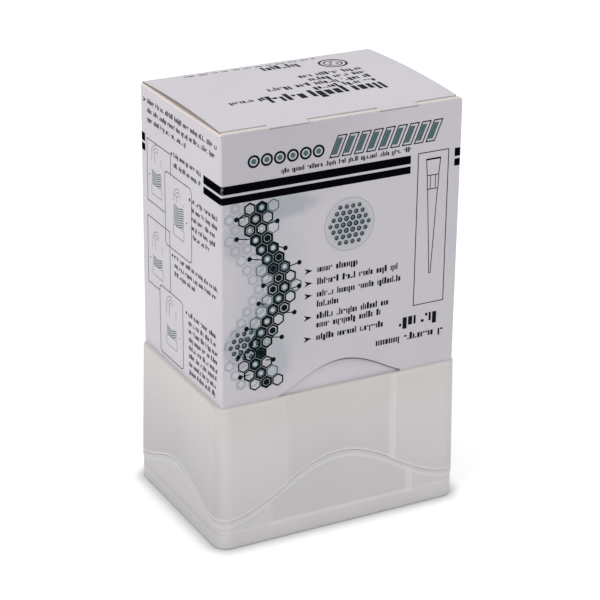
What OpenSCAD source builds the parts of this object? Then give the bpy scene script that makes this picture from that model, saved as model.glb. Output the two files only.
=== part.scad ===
// Starter pack of pipette tips in the 96-place, 9 mm format.
// A translucent rack box with a telescoping lid stands on the floor. On the lid stands a paperboard
// sleeve, which hides a board tray with a stack of refill plates, each full of nested tips.
// Millimetres, +Z up, the front faces -Y, the origin is the middle of the box's footprint.

/* [Tip grid] */
// Tips along the front
tip_cols = 12; // [10:1:12]
// Tips from front to back
tip_rows = 8; // [6:1:8]
// Spacing from tip to tip
pitch = 9; // [8.8:0.1:9.1]

/* [Tip] */
// Whole length of a tip
tip_len = 58; // [56:0.5:59]
// Length of the wide collar that stays above the plate
collar_len = 14; // [12.5:0.5:14.5]
// Outside diameter of the collar
collar_d = 7; // [6.8:0.1:7.2]
// Outside diameter of the cone just under the collar
cone_d = 5.5; // [5.2:0.1:5.6]
// Outside diameter at the point
point_d = 1.1; // [1:0.1:1.3]
// Wall of the tip
tip_wall = 0.55; // [0.5:0.05:0.6]

/* [Rack box] */
// Width of the base at the floor
box_w = 127.2; // [125:0.1:128]
// Depth of the base at the floor
box_d = 90.2; // [89:0.1:91]
// Height to the top of the closed lid
box_h = 71.2; // [70:0.2:74]
// How much each side leans in from the floor to the top
draft = 1.5; // [1:0.1:1.6]
// Radius of the upright corners at the floor
corner_r = 7.5; // [7:0.5:9]
// Wall of the lid and the base
wall = 1.3; // [1.2:0.05:1.4]
// Rounding of the lid's top edge
shoulder_r = 1.5; // [1:0.1:1.6]
// Height of the floor's underside above the foot rim
foot_h = 3; // [2.5:0.1:3.2]

/* [Parting wave] */
// Height of the parting line at the corners
wave_low = 14.5; // [13:0.5:16]
// Rise of the wave in the middle of the front and back
wave_front = 22.5; // [18:0.5:23]
// Rise of the wave in the middle of the sides
wave_side = 11.5; // [9:0.5:13]
// Gap that opens along the wave between its seats
wave_gap = 0.3; // [0.2:0.05:0.4]
// Height of the bead that follows the wave on the base
bead_h = 3; // [2.5:0.1:3.4]
// How far the bead stands out from the base
bead_out = 0.4; // [0.3:0.05:0.5]

/* [Grip panels] */
// Width of the sunk panel in the lid
lid_panel_w = 52; // [45:1:58]
// Width of the sunk panel in the base
base_panel_w = 71; // [65:1:80]
// Depth of the lid's panel
lid_panel_deep = 0.8; // [0.6:0.05:0.8]
// Depth of the base's panel
base_panel_deep = 0.6; // [0.4:0.05:0.6]

/* [Rack plates] */
// Width of a plate
plate_w = 117.6; // [117:0.1:117.8]
// Depth of a plate
plate_d = 81.6; // [81.2:0.1:81.8]
// Thickness of a plate
plate_t = 1.5; // [1.2:0.1:1.6]
// Height of the rim round a plate
rim_h = 1.8; // [1.2:0.1:2.5]

/* [Sleeve] */
// Width of the sleeve
sleeve_w = 120; // [120:0.1:120.4]
// Depth of the sleeve
sleeve_d = 84; // [84:0.1:84.4]
// Height of the sleeve above the lid
sleeve_h = 128.4; // [128:0.1:134]
// Thickness of the board
board = 0.5; // [0.4:0.05:0.5]
// How far the lid panel bows up between its ends
bow = 1.4; // [0.6:0.1:1.8]
// Depth of the tuck flap behind the front
tuck_h = 13; // [9:0.5:14]
// Height of the arch cut in the front and the back
arch_h = 12.4; // [8:0.1:16]
// Width of that arch
arch_w = 65; // [60:1:80]

/* [Refill stack] */
// Plates of tips in the sleeve
refills = 5; // [1:1:5]

/* [Hidden] */

far = 200;               // longer than anything that is cut
corner_steps = 6;        // facets in a quarter turn of an upright corner
arch_steps = 36;         // straight pieces in the sleeve's arch
arch_power = 1.25;
bow_steps = 12;          // straight pieces in the bowed panel
panel_slope = 3;         // length of the sloping ends of a sunk panel
mid_x = box_w / 2 - corner_r;    // centres of the box's round corners
mid_y = box_d / 2 - corner_r;

// Heights in the box
floor_t = 1.5;
floor_top = foot_h + floor_t;
point_gap = 1.2;         // air under the points of the tips
cone_len = tip_len - collar_len;
deck_z = floor_top + point_gap + cone_len;
upstand_h = deck_z - plate_t;
slip = 0.8;              // clearance between the base's upstand and the lid
upstand_in = wall + lid_panel_deep + slip;

// Heights in the sleeve
sleeve_top = box_h + sleeve_h;
crease_z = sleeve_top - board;   // top of the dust flaps and the back wall, under the lid panel
fold_r = 0.9;                    // outside radius of a board fold
fold_z = crease_z - fold_r;      // here the side walls start to fold in
stack_gap = 1;
refill_z = box_h + board + stack_gap + cone_len;
nest_step = collar_len + plate_t;  // each plate stands on the rims of the tips below
tray_w = sleeve_w - 2.6;
tray_d = sleeve_d - 1.8;
tray_top = refill_z - plate_t;
ledge_w = 6;                     // width of the board ledges that carry the lowest plate
miter_slit = 0.4;
latch_in = 17.2;                 // each latch tongue starts this far from the middle
latch_w = 20;
latch_deep = 0.7;

plastic = [0.80, 0.81, 0.80];
rack_grey = [0.72, 0.75, 0.78];
tip_clear = [0.86, 0.88, 0.88];
printed = [0.80, 0.79, 0.83];
raw_board = [0.82, 0.80, 0.80];

// Rectangle with round corners
module rounded(w, d, r) {
    square([w - 2 * r, d], center = true);
    square([w, d - 2 * r], center = true);
    for (sx = [-1, 1], sy = [-1, 1])
        translate([sx * (w / 2 - r), sy * (d / 2 - r)]) circle(r = r, $fn = 48);
}

// ---- skins of the box -----------------------------------------------------------------------
// The lid and the base are each one skin laid round the box's outline. A station is a place on
// the outline: [centre of curvature, angle of the outward normal, share of the wave, rise of the
// wave, share of the lid's panel, share of the base's panel]. A point of the wall is then found
// from a station, a distance in from the outer face and a height.

// Rise of the wave at a distance from the middle: one full cosine, level at both ends
function bump(u, half) = u < half ? (1 + cos(180 * u / half)) / 2 : 0;

// Numbers from a towards b in n steps, without b
function steps(a, b, n) = [for (i = [0 : n - 1]) a + (b - a) * i / n];

// Share of a sunk panel: whole up to its end, gone a slope further out
function sunk(u, end) = max(0, min(1, 1 - (abs(u) - end) / panel_slope));

function station(centre, angle, u, long, panels) = [
    centre, angle,
    bump(u, (long ? mid_x : mid_y) + corner_r / 2), long ? wave_front : wave_side,
    panels ? sunk(u, lid_panel_w / 2) : 0, panels ? sunk(u, base_panel_w / 2) : 0
];

half_face = concat(
    steps(0, lid_panel_w / 2, 8),
    steps(lid_panel_w / 2, lid_panel_w / 2 + panel_slope, 1),
    steps(lid_panel_w / 2 + panel_slope, base_panel_w / 2, 3),
    steps(base_panel_w / 2, base_panel_w / 2 + panel_slope, 1),
    steps(base_panel_w / 2 + panel_slope, mid_x, 5)
);
face_u = concat([-mid_x], [for (i = [len(half_face) - 1 : -1 : 1]) -half_face[i]], half_face);
side_u = steps(-mid_y, mid_y, 16);

// All stations, anticlockwise: each face left to right, then the round corner at its right end
stations = [
    for (k = [0 : 3])
        let (long = k % 2 == 0, along = long ? mid_x : mid_y, out = long ? mid_y : mid_x,
             turn = 90 * (k - 1), normal = [cos(turn), sin(turn)], tangent = [-sin(turn), cos(turn)])
        each concat(
            [for (u = long ? face_u : side_u)
                station(u * tangent + out * normal, turn, abs(u), long, long)],
            [for (bend = steps(0, 90, corner_steps)) let (near = bend < 45)
                station(along * tangent + out * normal, turn + bend,
                        near ? along + corner_r * bend * PI / 180 : out + corner_r * (90 - bend) * PI / 180,
                        near ? long : !long, false)]
        )
];

function wave_z(st) = wave_low + st[3] * st[2];

// Solid whose wall follows line(station), a list of [distance in, height], at every station.
// The first and last points of the lines are the edges of two flat ends, each a fan of triangles
module skin(line) {
    lines = [for (st = stations) line(st)];
    n = len(stations);
    m = len(lines[0]);
    polyhedron(
        points = concat(
            [for (i = [0 : n - 1]) for (p = lines[i])
                let (st = stations[i], r = corner_r - p[0] - draft * p[1] / box_h)
                [st[0][0] + r * cos(st[1]), st[0][1] + r * sin(st[1]), p[1]]],
            [[0, 0, lines[0][0][1]], [0, 0, lines[0][m - 1][1]]]
        ),
        faces = [
            for (i = [0 : n - 1]) let (a = i * m, b = (i + 1) % n * m)
                each concat(
                    [[a, b, n * m], [b + m - 1, a + m - 1, n * m + 1]],
                    [for (k = [0 : m - 2]) each [[a + k, a + k + 1, b + k + 1], [a + k, b + k + 1, b + k]]]
                )
        ]
    );
}

// ---- rack box -------------------------------------------------------------------------------

// One moulding: foot rim, raised floor, band up to the bead, shelf along the wave, upstand
module box_base() color(plastic) {
    inner = bead_out + wall;
    foot_z = floor_top + 3;      // the sunk panel starts here
    skin(function (st) let (w = wave_z(st), deep = base_panel_deep * st[5]) [
        [inner, foot_h], [inner, 0], [bead_out, 0],
        [bead_out, foot_z], [bead_out + deep, foot_z + 1.5],
        [bead_out + deep, w - bead_h], [deep, w - bead_h], [deep, w],
        [upstand_in, w], [upstand_in, upstand_h], [upstand_in + wall, upstand_h],
        [upstand_in + wall, w - wall], [inner + deep, w - wall],
        [inner + deep, foot_z + 1.5], [inner, foot_z], [inner, floor_top]
    ]);
}

// One moulding: ceiling, walls down to the wave, rounded top edge. The rim rests on the base's
// shelf round the corners, and a thin gap opens along the waves as soon as they rise
module box_lid() color(plastic) {
    ceiling_z = box_h - wall;
    gap_opens = 80;
    skin(function (st) let (
        rim = wave_z(st) + wave_gap * min(1, gap_opens * st[2]),
        deep = lid_panel_deep * st[4]
    ) concat(
        [[wall + max(deep, shoulder_r), ceiling_z], [wall + deep, ceiling_z - shoulder_r],
         [wall + deep, rim], [deep, rim]],
        [for (a = [0 : 22.5 : 90])
            [max(deep, shoulder_r * (1 - cos(a))), box_h - shoulder_r * (1 - sin(a))]]
    ));
}

// ---- tips and plates ------------------------------------------------------------------------

// Copies its child at every place of the grid
module at_grid() for (i = [0 : tip_cols - 1], j = [0 : tip_rows - 1])
    translate([(i - (tip_cols - 1) / 2) * pitch, (j - (tip_rows - 1) / 2) * pitch]) children();

// One hollow tip, its shoulder at z = 0 and its point down
module tip() {
    lip_h = 0.9;
    lip_out = 0.25;
    flare = 0.15;
    bore_r = point_d / 2 - 0.25;
    throat_r = cone_d / 2 - tip_wall;
    rotate_extrude($fn = 32) polygon([
        [bore_r, -cone_len],
        [point_d / 2, -cone_len],
        [cone_d / 2, 0],
        [collar_d / 2 - flare, 0],
        [collar_d / 2, collar_len - lip_h],
        [collar_d / 2 + lip_out, collar_len - lip_h],
        [collar_d / 2 + lip_out, collar_len],
        [collar_d / 2 - tip_wall, collar_len],
        [throat_r + 0.2, 0],
        [throat_r, -2]
    ]);
}

module tips_at(z) color(tip_clear) translate([0, 0, z]) at_grid() tip();

module plate_at(z) color(rack_grey) difference() {
    plate_r = 5;
    rim_w = 1.2;
    union() {
        translate([0, 0, z - plate_t]) linear_extrude(plate_t) rounded(plate_w, plate_d, plate_r);
        translate([0, 0, z]) linear_extrude(rim_h) difference() {
            rounded(plate_w, plate_d, plate_r);
            rounded(plate_w - 2 * rim_w, plate_d - 2 * rim_w, plate_r - rim_w);
        }
    }
    translate([0, 0, z - 2 * plate_t]) at_grid() cylinder(d = cone_d + 0.4, h = 3 * plate_t, $fn = 32);
}

module rack_plate() plate_at(deck_z);
module rack_tips() tips_at(deck_z);
module refill_plate(k) plate_at(refill_z + (k - 1) * nest_step);
module refill_tips(k) tips_at(refill_z + (k - 1) * nest_step);

// ---- board parts ----------------------------------------------------------------------------

module board_ring(w, d, z0, z1) translate([0, 0, z0]) linear_extrude(z1 - z0) difference() {
    rounded(w, d, fold_r);
    rounded(w - 2 * board, d - 2 * board, fold_r - board + 0.1);
}

// Open tray of plain board; its edges fold in as ledges that carry the lowest plate
module inner_tray() color(raw_board) {
    ledge_z = tray_top - board;
    board_ring(tray_w, tray_d, box_h, tray_top);
    translate([0, 0, box_h]) linear_extrude(board) rounded(tray_w, tray_d, fold_r);
    difference() {
        translate([0, 0, ledge_z]) linear_extrude(board) difference() {
            rounded(tray_w, tray_d, fold_r);
            square([tray_w - 2 * ledge_w, tray_d - 2 * ledge_w], center = true);
        }
        for (sx = [-1, 1], sy = [-1, 1])
            translate([sx * (tray_w / 2 - board), sy * (tray_d / 2 - board), ledge_z])
                rotate(sx * sy * 45) translate([-sx * far / 2, 0, 0])
                    cube([far, miter_slit, 4 * board], center = true);
    }
}

// Height of the bow along the depth: a parabola, level with the creases at both ends
function bow_at(y) = bow * (1 - pow(2 * y / sleeve_d, 2));

// Side flap on the +X side, folded in over its crease and lying under the lid panel
module dust_flap() {
    flap_len = 30;
    taper = 4;
    relief = 1.4;                // cut back at both ends, clear of the tuck flap's fold
    hollow_r = fold_r - board + 0.1;
    half_w = sleeve_w / 2;
    straight = sleeve_d - 2 * fold_r;
    intersection() {
        rotate([90, 0, 0]) linear_extrude(straight, center = true) difference() {
            union() {
                translate([half_w - fold_r, fold_z]) circle(r = fold_r, $fn = 32);
                translate([half_w - flap_len, crease_z - board]) square([flap_len - fold_r, board]);
            }
            translate([half_w - board - hollow_r, crease_z - board - hollow_r])
                circle(r = hollow_r, $fn = 32);
            translate([half_w - flap_len, fold_z - fold_r])
                square([flap_len - board - hollow_r, crease_z - board - fold_z + fold_r]);
            translate([half_w - far / 2, fold_z - far]) square(far);
        }
        linear_extrude(far + sleeve_top) polygon([
            [half_w + 1, -straight / 2], [half_w + 1, straight / 2],
            [half_w - fold_r, straight / 2], [half_w - fold_r, straight / 2 - relief],
            [half_w - flap_len, straight / 2 - taper], [half_w - flap_len, taper - straight / 2],
            [half_w - fold_r, relief - straight / 2], [half_w - fold_r, -straight / 2]
        ]);
    }
}

// The arch is a cosine wave to the power of arch_power, which narrows it towards its foot
module arch_side_view() polygon(concat(
    [[-arch_w / 2, -1], [-arch_w / 2, 0]],
    [for (i = [1 : arch_steps - 1]) let (u = i / arch_steps - 0.5)
        [arch_w * u, arch_h * pow(cos(180 * u), arch_power)]],
    [[arch_w / 2, 0], [arch_w / 2, -1]]
));

module carton_sleeve() color(printed) {
    straight = sleeve_w - 2 * fold_r;
    difference() {
        union() {
            board_ring(sleeve_w, sleeve_d, box_h, fold_z);
            translate([-straight / 2, -sleeve_d / 2, fold_z]) cube([straight, board, sleeve_top - fold_z]);
            translate([-straight / 2, sleeve_d / 2 - board, fold_z])
                cube([straight, board, crease_z - fold_z]);
        }
        translate([0, 0, box_h]) rotate([90, 0, 0]) linear_extrude(2 * far, center = true) arch_side_view();
        // the lid panel's two latch tongues lie in these notches
        for (s = [-1, 1]) translate([s * (latch_in + latch_w / 2), -sleeve_d / 2, sleeve_top])
            cube([latch_w, 4 * board, 2 * latch_deep], center = true);
    }
    dust_flap();
    mirror([1, 0, 0]) dust_flap();
    // glued seam inside the left back corner
    seam_w = 12;
    translate([-sleeve_w / 2 + board, sleeve_d / 2 - board - seam_w, box_h + 2])
        cube([board, seam_w, fold_z - box_h - 4]);
}

// Lid panel and tuck flap in one, folded over the front edge
module top_flap() color(printed) {
    panel_w = sleeve_w - 2;
    front = -sleeve_d / 2 + board + 0.1;       // outer face of the fold, just behind the front wall
    lean = 1.2;                                // the tuck flap leans in, so it swings clear
    r = fold_r;
    spine = concat(
        [for (i = [0 : bow_steps]) let (y = sleeve_d / 2 + (front + r - sleeve_d / 2) * i / bow_steps)
            [y, sleeve_top + bow_at(y) * (i == 0 || i == bow_steps ? 0 : 1)]],
        [for (a = [30, 60, 90]) [front + r - r * sin(a), sleeve_top - r + r * cos(a)]],
        [[front + lean, sleeve_top - tuck_h]]
    );
    last = len(spine) - 1;
    heading = function (k) let (a = spine[max(k - 1, 0)], b = spine[min(k + 1, last)]) (b - a) / norm(b - a);
    inner = [for (k = [last : -1 : 0]) let (t = heading(k))
        spine[k] + board * (k == 0 ? [0, -1] : [-t[1], t[0]])];
    intersection() {
        rotate([90, 0, 90]) linear_extrude(panel_w, center = true) polygon(concat(spine, inner));
        // the tuck flap narrows to round corners
        rotate([90, 0, 0]) linear_extrude(2 * far, center = true) union() {
            translate([-panel_w / 2, sleeve_top - 2]) square([panel_w, 2 + bow + 1]);
            translate([0, sleeve_top - tuck_h + 6]) square([panel_w - 3, 2 * tuck_h - 14], center = true);
            for (s = [-1, 1]) translate([s * (panel_w / 2 - 7.5), sleeve_top - tuck_h + 6])
                circle(r = 6, $fn = 48);
            translate([0, sleeve_top - tuck_h + 3]) square([panel_w - 15, 6], center = true);
        }
    }
    for (s = [-1, 1]) translate([s * (latch_in + latch_w / 2), -sleeve_d / 2, sleeve_top - board])
        translate([0.15 - latch_w / 2, 0, 0]) cube([latch_w - 0.3, 1.6, board]);
}

// ---- the whole pack -------------------------------------------------------------------------

box_base();
rack_plate();
rack_tips();
box_lid();
inner_tray();
for (k = [1 : refills]) refill_plate(k);
for (k = [1 : refills]) refill_tips(k);
carton_sleeve();
top_flap();
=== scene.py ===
import bmesh
import bpy
import numpy as np
from mathutils import Matrix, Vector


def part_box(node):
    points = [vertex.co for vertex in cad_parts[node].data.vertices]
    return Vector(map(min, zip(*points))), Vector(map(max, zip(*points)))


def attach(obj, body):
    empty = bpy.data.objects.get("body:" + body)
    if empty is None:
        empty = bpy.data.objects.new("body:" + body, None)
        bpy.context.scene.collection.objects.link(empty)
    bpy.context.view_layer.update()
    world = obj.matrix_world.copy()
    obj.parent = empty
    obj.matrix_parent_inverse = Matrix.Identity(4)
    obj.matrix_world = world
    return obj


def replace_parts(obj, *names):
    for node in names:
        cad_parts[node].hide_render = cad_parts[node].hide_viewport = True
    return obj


# A starter pack of pipette tips: a milky rack box, and on its lid a printed board sleeve.
# All shapes are worked out in millimetres and put into the meshes in metres.

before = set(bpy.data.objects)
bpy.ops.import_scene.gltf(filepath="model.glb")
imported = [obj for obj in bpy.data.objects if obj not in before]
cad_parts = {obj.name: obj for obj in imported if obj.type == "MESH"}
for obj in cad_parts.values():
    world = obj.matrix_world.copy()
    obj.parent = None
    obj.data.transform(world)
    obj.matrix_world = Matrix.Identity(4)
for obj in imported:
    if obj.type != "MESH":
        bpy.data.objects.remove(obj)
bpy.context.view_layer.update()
mm = 0.001


# camera

cameraSetup = dict(azimuth=-28.11, elevation=23.3, roll=0.72, distance=1050, aside=2.1, above=88.6,
                   lens=129.6, sensor=36, clip=(0.01, 50))


def placeTurned(name, data, axes, place):
    # links an object whose x, y and z axes point along the three axes
    turned = bpy.data.objects.new(name, data)
    rows = [[*row, at] for row, at in zip(np.stack(axes, 1), place)]
    turned.matrix_world = Matrix(rows + [[0, 0, 0, 1]])
    bpy.context.collection.objects.link(turned)
    return turned


def makeCamera(setup):
    # looks along the forward direction at a point that is aside and above of the origin
    azimuth, elevation, roll = np.radians([setup["azimuth"], setup["elevation"], setup["roll"]])
    forward = np.array([-np.sin(azimuth) * np.cos(elevation), np.cos(azimuth) * np.cos(elevation),
                        -np.sin(elevation)])
    level = np.array([np.cos(azimuth), np.sin(azimuth), 0])
    upright = np.cross(level, forward)
    right = np.cos(roll) * level + np.sin(roll) * upright
    up = np.cos(roll) * upright - np.sin(roll) * level
    place = mm * (setup["aside"] * right + setup["above"] * up - setup["distance"] * forward)
    data = bpy.data.cameras.new("camera")
    data.lens, data.sensor_width = setup["lens"], setup["sensor"]
    data.clip_start, data.clip_end = setup["clip"]
    bpy.context.scene.camera = placeTurned("camera", data, [right, up, -forward], place)


makeCamera(cameraSetup)
print("camera done")


# shader maths

class Wire:
    # a socket of a material's tree; an expression on wires adds its Math nodes
    def __init__(self, tree, socket=None):
        self.tree, self.socket = tree, socket

    def node(self, kind, inputs=None, out=0, **settings):
        # any node: its settings are set first, then the values or wires of its sockets
        made = self.tree.nodes.new("ShaderNode" + kind)
        for key, value in settings.items():
            setattr(made, key, value)
        for key, value in (inputs or {}).items():
            if isinstance(value, Wire):
                self.tree.links.new(value.socket, made.inputs[key])
            else:
                made.inputs[key].default_value = value
        return Wire(self.tree, made.outputs[out]) if len(made.outputs) else None

    def maths(self, operation, *others, clamp=False):
        return self.node("Math", dict(enumerate((self,) + others)), operation=operation, use_clamp=clamp)

    def __add__(self, other): return self.maths("ADD", other)
    def __sub__(self, other): return self.maths("SUBTRACT", other)
    def __mul__(self, other): return self.maths("MULTIPLY", other)
    def __truediv__(self, other): return self.maths("DIVIDE", other)
    def __pow__(self, other): return self.maths("POWER", other)
    def __lt__(self, other): return self.maths("LESS_THAN", other)
    def __abs__(self): return self.maths("ABSOLUTE")
    def __radd__(self, other): return self + other
    def __rsub__(self, other): return (self - other) * -1

    def clamped(self):
        return self.maths("ADD", 0.0, clamp=True)

    def fade(self, low, high):
        # 0 below low, 1 above high, smooth between
        return self.node("MapRange", {0: self, 1: low, 2: high, 3: 0.0, 4: 1.0},
                         interpolation_type="SMOOTHSTEP")

    def mixed(self, one, other):
        # colour one where this wire is 0, colour other where it is 1
        return self.node("Mix", {0: self, 6: one, 7: other}, 2, data_type="RGBA")

    def parts(self):
        # the x, y and z of a vector
        return [Wire(self.tree, part) for part in self.node("SeparateXYZ", {0: self}).socket.node.outputs]


def noise(at, size, detail=2.0, rough=0.5):
    # fractal noise with features about size mm across
    return at.node("TexNoise", {"Vector": at, "Scale": 1 / (size * mm), "Detail": detail,
                                "Roughness": rough})


def stretched(at, x, y, z):
    # the coordinates scaled along each axis, so a pattern on them becomes streaks
    return at.node("Mapping", {"Vector": at, "Scale": (x, y, z)})


# screen colours in 0 to 255
# shade is grey ink and painted shadow along the arch's edge; tint is painted shade on the front wall; flap
# is painted light on the dust flaps
colours = dict(front=(207, 203, 210), inside=(206, 203, 198), edge=(229, 222, 215), core=(150, 139, 132),
               flap=(228, 217, 212), black=(9, 9, 13), dark=(16, 30, 33), teal=(80, 106, 110),
               ghost=(172, 174, 182), text=(22, 22, 28), shade=(108, 104, 106),
               mist=(146, 157, 163), faintMist=(178, 182, 188), tint=(170, 164, 173),
               box=(209, 206, 207), plate=(176, 184, 192), tip=(232, 235, 235))


def linear(colour, factor=1.0):
    # a screen colour as the linear colour that the shaders take, times a factor
    c = np.array(colours[colour]) / 255
    return (*np.where(c <= 0.04045, c / 12.92, ((c + 0.055) / 1.055) ** 2.4) * np.array(factor), 1.0)


def newMaterial(name):
    material = bpy.data.materials.new(name)
    material.use_nodes = True
    material.node_tree.nodes.clear()
    return material, Wire(material.node_tree).node("TexCoord", out="Object")


def finishMaterial(at, colour, roughness, height, bump, reach, **constants):
    # the Principled shader with its constants, a bump of so many mm reach, and the output
    relief = at.node("Bump", {"Height": height, "Strength": bump, "Distance": reach * mm})
    inputs = {"Base Color": colour, "Roughness": roughness, "Normal": relief, **constants}
    at.node("OutputMaterial", {"Surface": at.node("BsdfPrincipled", inputs)})


# mesh helpers

foldTurn = np.radians(np.linspace(0, 90, 9))    # the quarter turn of a folded board


def spread(*parts):
    # points from their coordinates, each spread over the shape of all
    return np.stack(np.broadcast_arrays(*parts), -1)


def circle(x, z, radius, angle):
    return np.stack([x + radius * np.cos(angle), z + radius * np.sin(angle)], -1)


def unit(vectors):
    return vectors / np.linalg.norm(vectors, axis=-1, keepdims=True)


def gridFaces(rows, cols, wrapRows=False, wrapCols=False, start=0):
    # quads between the neighbours of a grid of points, rows by cols
    i = np.arange(rows - (not wrapRows))[:, None]
    j = np.arange(cols - (not wrapCols))[None, :]
    nextI, nextJ = (i + 1) % rows, (j + 1) % cols
    corners = [i * cols + j, i * cols + nextJ, nextI * cols + nextJ, nextI * cols + j]
    return start + np.stack(corners, -1).reshape(-1, 4)


def newPiece(name, points, faces, materials, body, slot, slots=None, smooth=35, outward=False):
    # puts points in mm and faces into a mesh; edges sharper than smooth degrees stay crisp
    mesh = bpy.data.meshes.new(name)
    mesh.from_pydata((np.asarray(points, float).reshape(-1, 3) * mm).tolist(), [],
                     [list(map(int, face)) for face in faces])
    for material in materials:
        mesh.materials.append(material)
    if slots is not None:
        mesh.polygons.foreach_set("material_index", np.asarray(slots, np.int32))
    mesh.polygons.foreach_set("use_smooth", np.ones(len(mesh.polygons), bool))
    mesh.validate()
    if outward:
        work = bmesh.new()
        work.from_mesh(mesh)
        bmesh.ops.recalc_face_normals(work, faces=work.faces)
        work.to_mesh(mesh)
        work.free()
    mesh.set_sharp_from_angle(angle=np.radians(smooth))
    piece = bpy.data.objects.new(name, mesh)
    bpy.context.collection.objects.link(piece)
    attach(piece, body)
    return piece


def roundedLine(line, radii, steps=3):
    # rounds the corners of profiles: each corner becomes a quadratic arc that starts its radius away,
    # or less than half way to the next corner; line is (..., corners, 2) and closed
    before, after = np.roll(line, 1, -2) - line, np.roll(line, -1, -2) - line
    near, far = (np.linalg.norm(side, axis=-1, keepdims=True) for side in (before, after))
    radii = np.asarray(radii, float)[:, None]
    first = line + before / np.maximum(near, 1e-9) * np.minimum(radii, 0.45 * near)
    last = line + after / np.maximum(far, 1e-9) * np.minimum(radii, 0.45 * far)
    t = np.linspace(0, 1, steps + 1)[:, None]
    arcs = ((1 - t) ** 2 * first[..., None, :] + 2 * t * (1 - t) * line[..., None, :]
            + t ** 2 * last[..., None, :])
    return arcs.reshape(*line.shape[:-2], -1, 2)


# materials

def boardFibres(at):
    # the matt relief of coated board: fine fibres, a coarser mottle and slow waves of the sheet
    return (noise(at, 0.35, 3, 0.6) * 0.10 + noise(stretched(at, 1, 1, 0.35), 1.6, 2) * 0.25
            + noise(at, 26, 1) * 3.0)


def creaseWear(at, width=120, depth=84, top=199.6):
    # 1 on the sleeve's upright corners and its top edge, where ink is rubbed and board cracks
    x, y, z = at.parts()
    nearX = abs(x).fade((width / 2 - 1.2) * mm, (width / 2 + 0.05) * mm)
    nearY = abs(y).fade((depth / 2 - 1.2) * mm, (depth / 2 + 0.05) * mm)
    nearTop = z.fade((top - 1.0) * mm, (top + 0.1) * mm)
    return (nearX * nearY + nearY * nearTop + nearX * nearTop).clamped()


frontOnly = -41.6    # just behind the outer face of the front wall, mm


def coatedBoard(name, colour, tone=0.03, mist=(), sheen=0.45):
    # satin coated board in one printed colour, paler where its creases are rubbed
    material, at = newMaterial(name)
    shade = noise(at, 34, 3, 0.55).fade(0.3, 0.7).mixed(linear(colour, 1 - tone), linear(colour))
    for (x, z), (wide, high), strength, tint in mist:
        # a soft oval cloud on the front wall: the print's mist, except the first two of frontMist, which
        # are painted shade
        px, py, pz = at.parts()
        away = (((px - x * mm) / (wide * mm)) ** 2.0 + ((pz - z * mm) / (high * mm)) ** 2.0) ** 0.5
        rough = away + (noise(at, 7, 3) - 0.5) * 0.35
        cloud = (1 - rough.fade(0.45, 1.05)) * (py < frontOnly * mm) * strength
        shade = cloud.mixed(shade, linear(tint))
    rubbed = creaseWear(at) * noise(at, 2.4, 4, 0.65).fade(0.42, 0.72)
    shade = (rubbed * 0.55).mixed(shade, linear("edge"))
    gloss = 0.44 + noise(at, 9, 2) * 0.10 + rubbed * 0.2
    finishMaterial(at, shade, gloss, boardFibres(at), bump=0.35, reach=0.06,
                   **{"Specular IOR Level": sheen})
    return material


def rawBoard(name, colour, speck=0.10):
    # uncoated board: long fibres, darker specks and a rough surface
    material, at = newMaterial(name)
    fibres = noise(stretched(at, 1, 1, 0.2), 0.9, 4, 0.7).fade(0.3, 0.75)
    specks = at.node("TexVoronoi", {"Vector": at, "Scale": 900.0}).fade(0.10, 0.02)
    shade = fibres.mixed(linear(colour, 1 - speck), linear(colour))
    shade = (specks * 0.35).mixed(shade, linear(colour, 0.55))
    finishMaterial(at, shade, 0.86, fibres + noise(at, 20, 1) * 3, bump=0.4, reach=0.05)
    return material


def milkyPlastic(name, colour, rough, grain):
    # moulded polypropylene: cloudy, satin, with faint flow marks and scuffs near the floor
    material, at = newMaterial(name)
    z = at.parts()[2]
    flow = noise(stretched(at, 1, 1, 0.25), 30, 3, 0.6).fade(0.25, 0.75)
    cloudy = noise(at, 55, 2).fade(0.3, 0.7)
    shade = flow.mixed(linear(colour, 0.965), linear(colour))
    shade = (cloudy * 0.5).mixed(shade, linear(colour, (1.02, 1.02, 1.0)))
    # painted highlights where the mesh attribute is above 0, and painted shade where it is below 0
    edge = at.node("Attribute", out="Fac", attribute_name="edgeLight")
    shade = (edge * 0.8).clamped().mixed(shade, linear(colour, 1.3))
    shade = (edge * -1.0).clamped().mixed(shade, linear(colour, (0.56, 0.55, 0.54)))
    # warmer towards the top, where the board over it tints the light
    shade = (z.fade(42 * mm, 72 * mm) * 0.6).mixed(shade, linear(colour, (0.98, 0.96, 0.90)))
    scuffs = noise(stretched(at, 1, 1, 3.5), 1.4, 4, 0.7).fade(0.62, 0.74)
    scuffs = scuffs * (1 - z.fade(0.5 * mm, 6 * mm))
    shade = (scuffs * 0.35).mixed(shade, linear(colour, 1.06))
    gloss = rough + flow * 0.06 + scuffs * 0.25
    relief = noise(at, 0.45, 2, 0.6) * grain + noise(at, 18, 2) * 2.2
    finishMaterial(at, shade, gloss, relief, bump=0.3, reach=0.08,
                   **{"Subsurface Weight": 0.25, "Subsurface Radius": (1.0, 1.0, 0.95),
                      "Subsurface Scale": 0.004, "IOR": 1.49})
    return material


def clearPlastic(name, colour):
    # the tips: natural polypropylene with fine turned rings and a little see-through
    material, at = newMaterial(name)
    rings = (at.parts()[2] * 2600.0).maths("SINE") * 0.5 + 0.5
    shade = noise(at, 6, 2).mixed(linear(colour, 0.93), linear(colour))
    finishMaterial(at, shade, 0.16 + rings * 0.05, rings, bump=0.08, reach=0.03,
                   **{"Transmission Weight": 0.2, "IOR": 1.49})
    return material
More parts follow.
